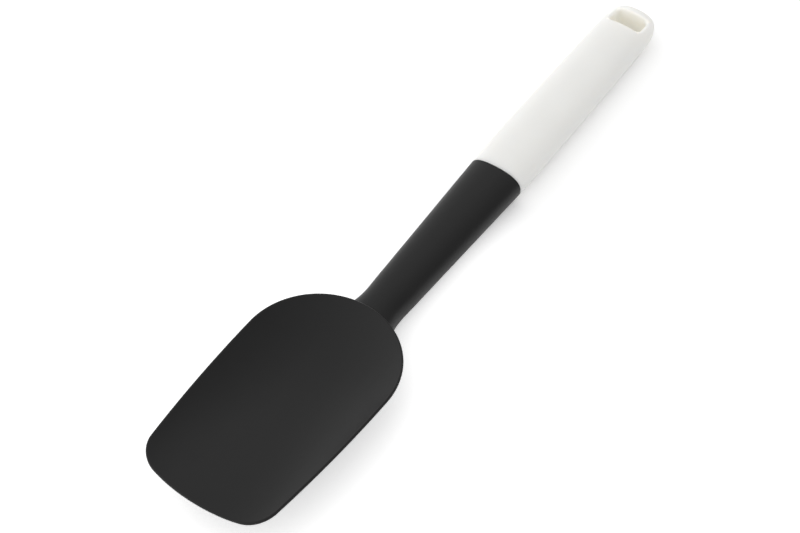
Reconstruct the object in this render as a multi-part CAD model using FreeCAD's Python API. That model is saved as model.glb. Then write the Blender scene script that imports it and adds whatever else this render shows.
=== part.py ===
import FreeCAD, Part
import math
import os

# A scoop-shaped silicone spatula, in millimetres. +X runs from the blade's tip to the end of the
# handle, +Y to the left and +Z up. The origin is on the resting surface, under the middle of the
# length. A station is a distance along the tool, counted from the tip.

# Whole tool
overall_length = 315.2
handle_length = 114.0

# Blade, seen from above: bowed tip and sides, rounded corners and a round back
blade_length = 110.2
blade_width = 65.5
tip_bow_radius = 80.0
tip_corner_radius = 12.5
side_bow_radius = 615.0

# Scoop, seen from the side: heights are above the resting surface
tip_rim_height = 23.2
back_rim_height = 19.1
tip_dip = 2.6
scoop_depth = 9.0
lip_thickness = 1.5
lip_round_share = 0.95
floor_thickness = 4.0
thinned_tip_length = 30.0

# Neck, sleeve and handle: one oval bar whose underside lies on the resting surface
neck_width = 18.4
neck_height = 14.6
joint_width = 24.5
joint_height = 14.6
palm_swell = 0.75
palm_rise = 0.3
end_width = 23.0
end_height = 15.0
end_length = 17.5
end_side_rounding = 7.0
end_top_rounding = 5.2

# Root: the neck spreads into the back of the scoop, whose wall is deepened there by a heel
root_length = 8.5
root_spread = 2.5
root_rise = 0.6
root_blend = 2.0
heel_depth = 8.0
heel_width = 38.0

# Keel: the neck runs on under the scoop and dies away in its belly
keel_length = 52.0
keel_taper = 2.5
keel_sink = 0.8

# Hanging hole, through the handle near its end
hole_width = 15.0
hole_length = 9.2
hole_corner_radius = 2.4
hole_to_end = 5.0
hole_edge_rounding = 1.0

# Core: a paddle in the blade, a spine in the neck and a tang in the handle
silicone_skin = 1.2
paddle_width = 28.0
paddle_tip_station = 28.0
spine_overlap = 28.5
sleeve_wall = 2.2
handle_wall = 3.6
tang_to_hole = 8.0

# Holes in the core that the silicone and the handle are moulded through
key_hole_diameter = 6.0
key_hole_pitch = 14.0
key_hole_count = 3
lock_hole_diameter = 6.0
lock_hole_pitch = 24.0
lock_hole_count = 3

# Powers of the curves: 2 gives an ellipse or a parabola, more a flatter floor or a squarer curve
oval_power = 2.45
end_power = 3.0
tip_floor_power = 4.5
back_floor_power = 2.5

# Fineness of the freeform surfaces
section_spacing = 7.0
oval_points = 16
end_steps = 8
floor_steps = 20

# How far cutting shapes reach past what they cut, and how close counts as touching
cut_overrun = 5.0
touch = 0.001

back_radius = blade_width / 2
dish_station = blade_length - back_radius
neck_station = blade_length + root_length
joint_station = overall_length - handle_length
spine_station = blade_length - spine_overlap
keel_station = neck_station - keel_length
hole_station = overall_length - hole_to_end - hole_length / 2
tang_end_station = hole_station - hole_length / 2 - tang_to_hole

# The lip's two rounded edges share its thickness, measured square to the scoop's slope at the rim
rim_slope = scoop_depth * back_floor_power / back_radius
lip_rounding = lip_round_share * lip_thickness / 2 / math.hypot(1, rim_slope)

V = FreeCAD.Vector
UP = V(0, 0, 1)


# Helpers

def at(station):
    """X of a station."""
    return station - overall_length / 2


def mix(low, high, share):
    return low + (high - low) * share


def ease(share):
    """Smooth step from 0 to 1."""
    share = min(max(share, 0), 1)
    return share * share * (3 - 2 * share)


def sagitta(radius, half_chord):
    """How far an arc stands off the middle of its chord."""
    return radius - math.sqrt(radius ** 2 - half_chord ** 2)


def arc(start, middle, end):
    return Part.Arc(V(*start), V(*middle), V(*end)).toShape()


def line(start, end):
    return Part.LineSegment(V(*start), V(*end)).toShape()


def is_upright(edge):
    return edge.BoundBox.ZLength > edge.Length / 2


def runs_on(edge, face):
    """Whether the middle of an edge lies on a face."""
    middle = edge.valueAt((edge.FirstParameter + edge.LastParameter) / 2)
    return face.distToShape(Part.Vertex(middle))[0] < touch


# Blade

def side_half_width(station):
    """Half-width between the bowed sides, which are widest where the dish begins."""
    return back_radius - sagitta(side_bow_radius, dish_station - station)


def outwards(station, y):
    """0 on the scoop's middle line and 1 on its rim. Behind the dish station it runs radially."""
    if station > dish_station:
        return math.hypot(station - dish_station, y) / back_radius
    return abs(y) / side_half_width(station)


def scoop_height(station, y):
    """Height of the scoop's upper surface: a trough that deepens from the tip into half a dish."""
    back_share = ease(station / dish_station)
    depth = mix(tip_dip, scoop_depth, back_share)
    power = mix(tip_floor_power, back_floor_power, back_share)
    rim_height = mix(tip_rim_height, back_rim_height, station / blade_length)
    return rim_height - depth * (1 - outwards(station, y) ** power)


def belly_height(station, y):
    """Height of the blade's lower surface: thin at the rim and the tip, deep at the heel."""
    inner_share = max(1 - outwards(station, y) ** 2, 0) * ease(station / thinned_tip_length)
    heel_share = max(1 - (2 * y / heel_width) ** 2, 0) ** 2 * ease((station - dish_station) / back_radius)
    thickness = mix(lip_thickness, floor_thickness, inner_share) + heel_depth * heel_share
    return scoop_height(station, y) - thickness


def above(height, lift=0):
    """The space over the blade that lies above a freeform surface."""
    reach = back_radius + cut_overrun
    rows = []
    for i in range(floor_steps + 1):
        station = mix(-cut_overrun, blade_length + cut_overrun, i / floor_steps)
        row = []
        for j in range(floor_steps + 1):
            y = mix(-reach, reach, j / floor_steps)
            row.append(V(at(station), y, height(station, y) + lift))
        rows.append(row)
    surface = Part.BSplineSurface()
    surface.interpolate(rows)
    return surface.toShape().extrude(UP * (tip_rim_height + cut_overrun))


def blade_prism():
    """The blade's outline, drawn upwards past its rim."""
    corner_station = sagitta(tip_bow_radius, side_half_width(0))
    middle_station = mix(corner_station, dish_station, 1 / 2)
    corner_half = side_half_width(corner_station)
    middle_half = side_half_width(middle_station)
    left_corner = (at(corner_station), corner_half, 0)
    left_back = (at(dish_station), back_radius, 0)
    right_corner = (at(corner_station), -corner_half, 0)
    right_back = (at(dish_station), -back_radius, 0)
    outline = Part.Wire([
        arc(left_corner, (at(0), 0, 0), right_corner),
        arc(right_corner, (at(middle_station), -middle_half, 0), right_back),
        arc(right_back, (at(blade_length), 0, 0), left_back),
        arc(left_back, (at(middle_station), middle_half, 0), left_corner),
    ])
    prism = Part.Face(outline).extrude(UP * (tip_rim_height + cut_overrun))
    uprights = [edge for edge in prism.Edges if is_upright(edge)]
    tip_corners = [edge for edge in uprights if edge.CenterOfMass.x < at(middle_station)]
    return prism.makeFillet(tip_corner_radius, tip_corners)


# Oval bar

def bar_section(station):
    """Width, bottom and top of the bar: keel and root, then sleeve, then handle."""
    sleeve_length = joint_station - neck_station
    if station < neck_station:
        root_share = min((neck_station - station) / (neck_station - blade_length), 1) ** 2
        keel_share = ((neck_station - station) / keel_length) ** 2
        keel_end_height = belly_height(keel_station, 0) + keel_sink
        width = neck_width + 2 * (root_spread * root_share - keel_taper * keel_share)
        return width, keel_end_height * keel_share, neck_height + root_rise * root_share
    if station < joint_station:
        share = (station - neck_station) / sleeve_length
        return mix(neck_width, joint_width, share), 0, mix(neck_height, joint_height, share)
    # The handle swells on at the sleeve's own flare, eases out at the palm and tapers to the end.
    palm_width = joint_width + palm_swell
    palm_height = joint_height + palm_rise
    swell_length = 2 * palm_swell * sleeve_length / (joint_width - neck_width)
    past_joint = station - joint_station
    if past_joint < swell_length:
        share = (1 - past_joint / swell_length) ** 2
        return mix(palm_width, joint_width, share), 0, mix(palm_height, joint_height, share)
    share = ((past_joint - swell_length) / (handle_length - swell_length)) ** 2
    return mix(palm_width, end_width, share), 0, mix(palm_height, end_height, share)


def squared(value, power):
    """A cosine or sine, squared off by a power."""
    return math.copysign(abs(value) ** (2 / power), value)


def oval(station, side_inset, top_inset):
    """A closed oval across the bar, inside its sides, top and bottom by the insets."""
    width, bottom, top = bar_section(station)
    half_width = width / 2 - side_inset
    half_height = (top - bottom) / 2 - top_inset
    points = []
    for i in range(oval_points):
        turn = 2 * math.pi * i / oval_points
        y = half_width * squared(math.cos(turn), oval_power)
        z = (top + bottom) / 2 + half_height * squared(math.sin(turn), oval_power)
        points.append(V(at(station), y, z))
    curve = Part.BSplineCurve()
    curve.interpolate(points, PeriodicFlag=True)
    return Part.Wire(curve.toShape())


def bar(start, end, inset=0):
    """The stretch of the bar between two stations."""
    steps = math.ceil((end - start) / section_spacing)
    ovals = [oval(mix(start, end, i / steps), inset, inset) for i in range(steps + 1)]
    return Part.makeLoft(ovals, True, False)


def rounded_end():
    """The last of the bar, drawn in along a squared-off quarter circle."""
    ovals = []
    for i in range(end_steps + 1):
        turn = math.pi / 2 * i / end_steps
        station = overall_length - end_length * (1 - squared(math.sin(turn), end_power))
        inset_share = 1 - squared(math.cos(turn), end_power)
        ovals.append(oval(station, end_side_rounding * inset_share, end_top_rounding * inset_share))
    return Part.makeLoft(ovals, True, False)


def row_of_holes(first_station, pitch, count, diameter):
    """Upright round holes along the middle line, long enough to pass through any piece."""
    length = tip_rim_height + 2 * cut_overrun
    feet = [V(at(first_station + i * pitch), 0, -cut_overrun) for i in range(count)]
    return Part.makeCompound([Part.makeCylinder(diameter / 2, length, foot) for foot in feet])


# Pieces

def core():
    """Stiff core: the paddle follows the scoop under its skin, the spine and tang follow the bar."""
    half = paddle_width / 2
    front = paddle_tip_station + half
    tongue = Part.Wire([
        arc((at(front), half, 0), (at(paddle_tip_station), 0, 0), (at(front), -half, 0)),
        line((at(front), -half, 0), (at(spine_station), -half, 0)),
        arc((at(spine_station), -half, 0), (at(spine_station + half), 0, 0), (at(spine_station), half, 0)),
        line((at(spine_station), half, 0), (at(front), half, 0)),
    ])
    paddle = Part.Face(tongue).extrude(UP * tip_rim_height)
    paddle = paddle.common(above(belly_height, silicone_skin))
    spine_root = bar(spine_station, neck_station, sleeve_wall)
    spine = bar(neck_station, joint_station, sleeve_wall)
    tang = bar(joint_station, tang_end_station, handle_wall)
    solid = paddle.fuse(spine_root).cut(above(scoop_height, -silicone_skin)).fuse(spine).fuse(tang)
    key_holes = row_of_holes(front, key_hole_pitch, key_hole_count, key_hole_diameter)
    first_lock = joint_station + lock_hole_pitch
    lock_holes = row_of_holes(first_lock, lock_hole_pitch, lock_hole_count, lock_hole_diameter)
    return solid.cut(key_holes).cut(lock_holes)


def silicone_head(inside):
    """Scoop blade and sleeve in one moulding round the core."""
    blade = blade_prism().common(above(belly_height)).cut(above(scoop_height))
    rim = [edge for edge in blade.Edges if not is_upright(edge)]
    blade = blade.makeFillet(lip_rounding, rim)
    neck = bar(keel_station, joint_station).cut(above(scoop_height, -lip_thickness / 2))
    solid = blade.fuse(neck)
    neck_side = max(neck.Faces, key=lambda face: face.Area)
    ahead_of_neck = [edge for edge in solid.Edges if edge.BoundBox.XMax < at(neck_station)]
    root = [edge for edge in ahead_of_neck if runs_on(edge, neck_side)]
    return solid.makeFillet(root_blend, root).cut(inside)


def in_hole(point):
    """Whether a point lies inside the hanging hole's outline, seen from above."""
    inside_length = abs(point.x - at(hole_station)) < hole_length / 2 + touch
    return inside_length and abs(point.y) < hole_width / 2 + touch


def handle(inside):
    """Oval handle with a rounded end and a hanging hole, moulded round the core's tang."""
    solid = bar(joint_station, overall_length - end_length).fuse(rounded_end())
    corner = V(at(hole_station) - hole_length / 2, -hole_width / 2, -cut_overrun)
    hole = Part.makeBox(hole_length, hole_width, joint_height + palm_rise + 2 * cut_overrun, corner)
    hole = hole.makeFillet(hole_corner_radius, [edge for edge in hole.Edges if is_upright(edge)])
    solid = solid.cut(hole)
    hole_edges = [edge for edge in solid.Edges if in_hole(edge.CenterOfMass)]
    hole_rims = [edge for edge in hole_edges if not is_upright(edge)]
    return solid.makeFillet(hole_edge_rounding, hole_rims).cut(inside)


os.makedirs("parts", exist_ok=True)
inside = core()
pieces = {"core": inside, "silicone_head": silicone_head(inside), "handle": handle(inside)}
for name, solid in pieces.items():
    print(name, solid.isValid(), len(solid.Solids), round(solid.Volume))
    solid.exportStep("parts/" + name + ".step")
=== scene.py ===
import math

import bpy
from mathutils import Matrix, Vector

# A scoop-shaped silicone spatula on a white table. Lengths are in metres and angles in degrees, in the
# part's frame: +X from the blade's tip to the end of the handle, +Y to the left, +Z up, with the origin
# on the table.

# Camera
camera_place = (-0.45231, -0.30104, 0.69084)
camera_elevation = 52.088
camera_turn = 54.80
camera_roll = -0.117
focal_length_px = 2155.1
image_width_px = 800
sensor_width_mm = 36

# Soft white dome, brightest on the side of the blade and the tool's left
dome_colour = (1, 1, 1)
dome_bright = 1.42
dome_dim = 0.56
dome_bright_side = (-0.5, 0.866, 0)

# White table. It glows where it is seen, and the glow fades along the tool from the blade to the handle.
table_size = 8.0
table_colour = (0.97, 0.97, 0.97)
table_roughness = 0.9
table_glow_by_blade = 0.42
table_glow_by_handle = 0.15
table_glow_fade = (0, 0.06)
table_glow_mirrored = 0.1

# Silicone
silicone_dark = (0.0028, 0.0028, 0.0029)
silicone_light = (0.0044, 0.0044, 0.0045)
silicone_ior = 1.355
silicone_roughness = (0.34, 0.42)
silicone_grain = 0.00035
silicone_grain_height = 0.000006
silicone_ripple = 0.009
silicone_ripple_height = 0.00002

# Handle plastic
handle_dark = (0.815, 0.81, 0.785)
handle_light = (0.84, 0.836, 0.813)
handle_roughness = (0.42, 0.52)
handle_grain = 0.0003
handle_grain_height = 0.000008
handle_patch = 0.014
handle_scatter_share = 1.0
handle_scatter_depth = 0.004
handle_scatter_tint = (1.0, 0.97, 0.93)

# Hanging hole. Its walls are painted a lighter cream, a painted glow that stands in for light coming
# through the plastic behind them
hole_middle = 0.148
hole_length = 0.0092
hole_width = 0.015
hole_rim = 0.001
hole_glow_painted_dark = (0.99, 0.945, 0.86)
hole_glow_painted_light = (0.998, 0.958, 0.88)

# Core nylon, shut inside
core_dark = (0.09, 0.09, 0.095)
core_light = (0.12, 0.12, 0.125)
core_roughness = (0.4, 0.5)
core_patch = 0.004

# How many finer layers the noise has, in relief and in patches of colour
relief_layers = 2
patch_layers = 3


def make_camera():
    data = bpy.data.cameras.new("camera")
    data.sensor_width = sensor_width_mm
    data.lens = focal_length_px / image_width_px * sensor_width_mm
    camera = bpy.data.objects.new("camera", data)
    bpy.context.scene.collection.objects.link(camera)
    elevation, turn, roll = map(math.radians, (camera_elevation, camera_turn, camera_roll))
    level = Vector((math.cos(turn), -math.sin(turn), 0))
    ahead = Vector((math.sin(turn), math.cos(turn), 0))
    forward = math.cos(elevation) * ahead - math.sin(elevation) * Vector((0, 0, 1))
    up = level.cross(forward)
    right = math.cos(roll) * level + math.sin(roll) * up
    up = right.cross(forward)
    aim = Matrix((right, up, -forward)).transposed().to_4x4()
    camera.matrix_world = Matrix.Translation(camera_place) @ aim
    bpy.context.scene.camera = camera


def make_dome():
    world = bpy.data.worlds.new("studio")
    bpy.context.scene.world = world
    world.use_nodes = True
    nodes, links = world.node_tree.nodes, world.node_tree.links
    direction = nodes.new("ShaderNodeTexCoord")
    sideways = nodes.new("ShaderNodeVectorMath")
    sideways.operation = "DOT_PRODUCT"
    sideways.inputs[1].default_value = dome_bright_side
    strength = nodes.new("ShaderNodeMapRange")
    strength.inputs["From Min"].default_value = -1
    strength.inputs["From Max"].default_value = 1
    strength.inputs["To Min"].default_value = dome_dim
    strength.inputs["To Max"].default_value = dome_bright
    sky = nodes["Background"]
    sky.inputs["Color"].default_value = (*dome_colour, 1)
    links.new(direction.outputs["Generated"], sideways.inputs[0])
    links.new(sideways.outputs["Value"], strength.inputs["Value"])
    links.new(strength.outputs["Result"], sky.inputs["Strength"])


def new_material(name):
    material = bpy.data.materials.new(name)
    material.use_nodes = True
    return material, material.node_tree.nodes, material.node_tree.links


def math_node(nodes, links, operation, *values):
    """The result of an operation on numbers and on other nodes' results."""
    node = nodes.new("ShaderNodeMath")
    node.operation = operation
    for socket, value in zip(node.inputs, values):
        if isinstance(value, bpy.types.NodeSocket):
            links.new(value, socket)
        else:
            socket.default_value = value
    return node.outputs[0]


def axes_of(nodes, links):
    """X, Y and Z of the point that is shaded."""
    place = nodes.new("ShaderNodeTexCoord")
    axes = nodes.new("ShaderNodeSeparateXYZ")
    links.new(place.outputs["Object"], axes.inputs[0])
    return axes.outputs


def fade(nodes, links, value, span, results):
    """A number that runs smoothly from the first result to the second, over a span of the value."""
    ramp = nodes.new("ShaderNodeMapRange")
    ramp.interpolation_type = "SMOOTHSTEP"
    ramp.inputs["From Min"].default_value, ramp.inputs["From Max"].default_value = span
    ramp.inputs["To Min"].default_value, ramp.inputs["To Max"].default_value = results
    links.new(value, ramp.inputs["Value"])
    return ramp.outputs["Result"]


def make_table():
    bpy.ops.mesh.primitive_plane_add(size=table_size)
    table = bpy.context.object
    table.name = "table"
    material, nodes, links = new_material("table")
    paper = nodes["Principled BSDF"]
    paper.inputs["Base Color"].default_value = (*table_colour, 1)
    paper.inputs["Roughness"].default_value = table_roughness
    rays = nodes.new("ShaderNodeLightPath").outputs
    straight = math_node(nodes, links, "ADD", rays["Is Camera Ray"], rays["Is Transmission Ray"])
    mirrored = math_node(nodes, links, "MULTIPLY", rays["Is Glossy Ray"], table_glow_mirrored)
    along = axes_of(nodes, links)["X"]
    direct = fade(nodes, links, along, table_glow_fade, (table_glow_by_blade, table_glow_by_handle))
    strength = math_node(nodes, links, "MULTIPLY_ADD", straight, direct, mirrored)
    glow = nodes.new("ShaderNodeEmission")
    links.new(strength, glow.inputs["Strength"])
    both = nodes.new("ShaderNodeAddShader")
    links.new(paper.outputs[0], both.inputs[0])
    links.new(glow.outputs[0], both.inputs[1])
    links.new(both.outputs[0], nodes["Material Output"].inputs["Surface"])
    table.data.materials.append(material)


def noise(nodes, links, size, layers):
    """Noise whose lumps are about as large as the given size."""
    place = nodes.new("ShaderNodeTexCoord")
    texture = nodes.new("ShaderNodeTexNoise")
    texture.inputs["Scale"].default_value = 1 / size
    texture.inputs["Detail"].default_value = layers
    links.new(place.outputs["Object"], texture.inputs["Vector"])
    return texture.outputs["Fac"]


def spread(nodes, links, factor, low, high):
    """A number between low and high, as the factor says."""
    span = nodes.new("ShaderNodeMapRange")
    span.inputs["To Min"].default_value = low
    span.inputs["To Max"].default_value = high
    links.new(factor, span.inputs["Value"])
    return span.outputs["Result"]


def blend(nodes, links, factor, low, high):
    """A colour between low and high, as the factor says."""
    ramp = nodes.new("ShaderNodeValToRGB")
    ramp.color_ramp.elements[0].color = (*low, 1)
    ramp.color_ramp.elements[1].color = (*high, 1)
    links.new(factor, ramp.inputs["Fac"])
    return ramp.outputs["Color"]


def relief(nodes, links, factor, height, under=None):
    """Normals of a surface that rises by the factor times the height, over those of another relief."""
    bump = nodes.new("ShaderNodeBump")
    bump.inputs["Distance"].default_value = height
    links.new(factor, bump.inputs["Height"])
    if under:
        links.new(under, bump.inputs["Normal"])
    return bump.outputs["Normal"]


def named(sockets, identifier):
    """The socket with an identifier, among several that share a label."""
    return next(socket for socket in sockets if socket.identifier == identifier)


def hole_painted_glow_mask(nodes, links):
    """Where the hanging hole's painted glow goes: 1 on the hole's walls, fading to 0 over its rounded
    rims.
    """
    axes = axes_of(nodes, links)
    from_middle = math_node(nodes, links, "SUBTRACT", axes["X"], hole_middle)
    along = math_node(nodes, links, "ABSOLUTE", from_middle)
    across = math_node(nodes, links, "ABSOLUTE", axes["Y"])
    past_end = math_node(nodes, links, "SUBTRACT", along, hole_length / 2)
    past_side = math_node(nodes, links, "SUBTRACT", across, hole_width / 2)
    outside = math_node(nodes, links, "MAXIMUM", past_end, past_side)
    return fade(nodes, links, outside, (hole_rim, 0), (0, 1))


def silicone_material():
    material, nodes, links = new_material("black_silicone")
    shader = nodes["Principled BSDF"]
    shader.inputs["IOR"].default_value = silicone_ior
    ripple = noise(nodes, links, silicone_ripple, relief_layers)
    grain = noise(nodes, links, silicone_grain, relief_layers)
    links.new(blend(nodes, links, ripple, silicone_dark, silicone_light), shader.inputs["Base Color"])
    links.new(spread(nodes, links, ripple, *silicone_roughness), shader.inputs["Roughness"])
    waves = relief(nodes, links, ripple, silicone_ripple_height)
    links.new(relief(nodes, links, grain, silicone_grain_height, waves), shader.inputs["Normal"])
    return material


def handle_material():
    material, nodes, links = new_material("white_plastic")
    shader = nodes["Principled BSDF"]
    patch = noise(nodes, links, handle_patch, patch_layers)
    grain = noise(nodes, links, handle_grain, relief_layers)
    outside = blend(nodes, links, patch, handle_dark, handle_light)
    # Painted light: the hole's walls get a lighter cream colour in place of light shining through the
    # plastic
    inside = blend(nodes, links, patch, hole_glow_painted_dark, hole_glow_painted_light)
    colour = nodes.new("ShaderNodeMix")
    colour.data_type = "RGBA"
    links.new(hole_painted_glow_mask(nodes, links), named(colour.inputs, "Factor_Float"))
    links.new(outside, named(colour.inputs, "A_Color"))
    links.new(inside, named(colour.inputs, "B_Color"))
    links.new(named(colour.outputs, "Result_Color"), shader.inputs["Base Color"])
    shader.inputs["Subsurface Weight"].default_value = handle_scatter_share
    shader.inputs["Subsurface Radius"].default_value = handle_scatter_tint
    shader.inputs["Subsurface Scale"].default_value = handle_scatter_depth
    links.new(spread(nodes, links, patch, *handle_roughness), shader.inputs["Roughness"])
    links.new(relief(nodes, links, grain, handle_grain_height), shader.inputs["Normal"])
    return material


def core_material():
    material, nodes, links = new_material("core_nylon")
    shader = nodes["Principled BSDF"]
    patch = noise(nodes, links, core_patch, patch_layers)
    links.new(blend(nodes, links, patch, core_dark, core_light), shader.inputs["Base Color"])
    links.new(spread(nodes, links, patch, *core_roughness), shader.inputs["Roughness"])
    return material


def dress(node_name, material):
    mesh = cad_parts[node_name].data
    mesh.materials.clear()
    mesh.materials.append(material)


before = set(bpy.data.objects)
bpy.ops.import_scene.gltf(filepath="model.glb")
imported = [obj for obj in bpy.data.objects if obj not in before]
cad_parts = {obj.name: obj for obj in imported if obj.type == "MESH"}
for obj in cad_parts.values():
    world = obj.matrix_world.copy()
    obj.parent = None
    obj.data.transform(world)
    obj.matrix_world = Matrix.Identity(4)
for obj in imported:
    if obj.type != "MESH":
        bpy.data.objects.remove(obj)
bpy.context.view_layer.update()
make_camera()
make_dome()
make_table()
dress("silicone_head", silicone_material())
dress("handle", handle_material())
dress("core", core_material())
bpy.context.scene.view_settings.view_transform = "Standard"
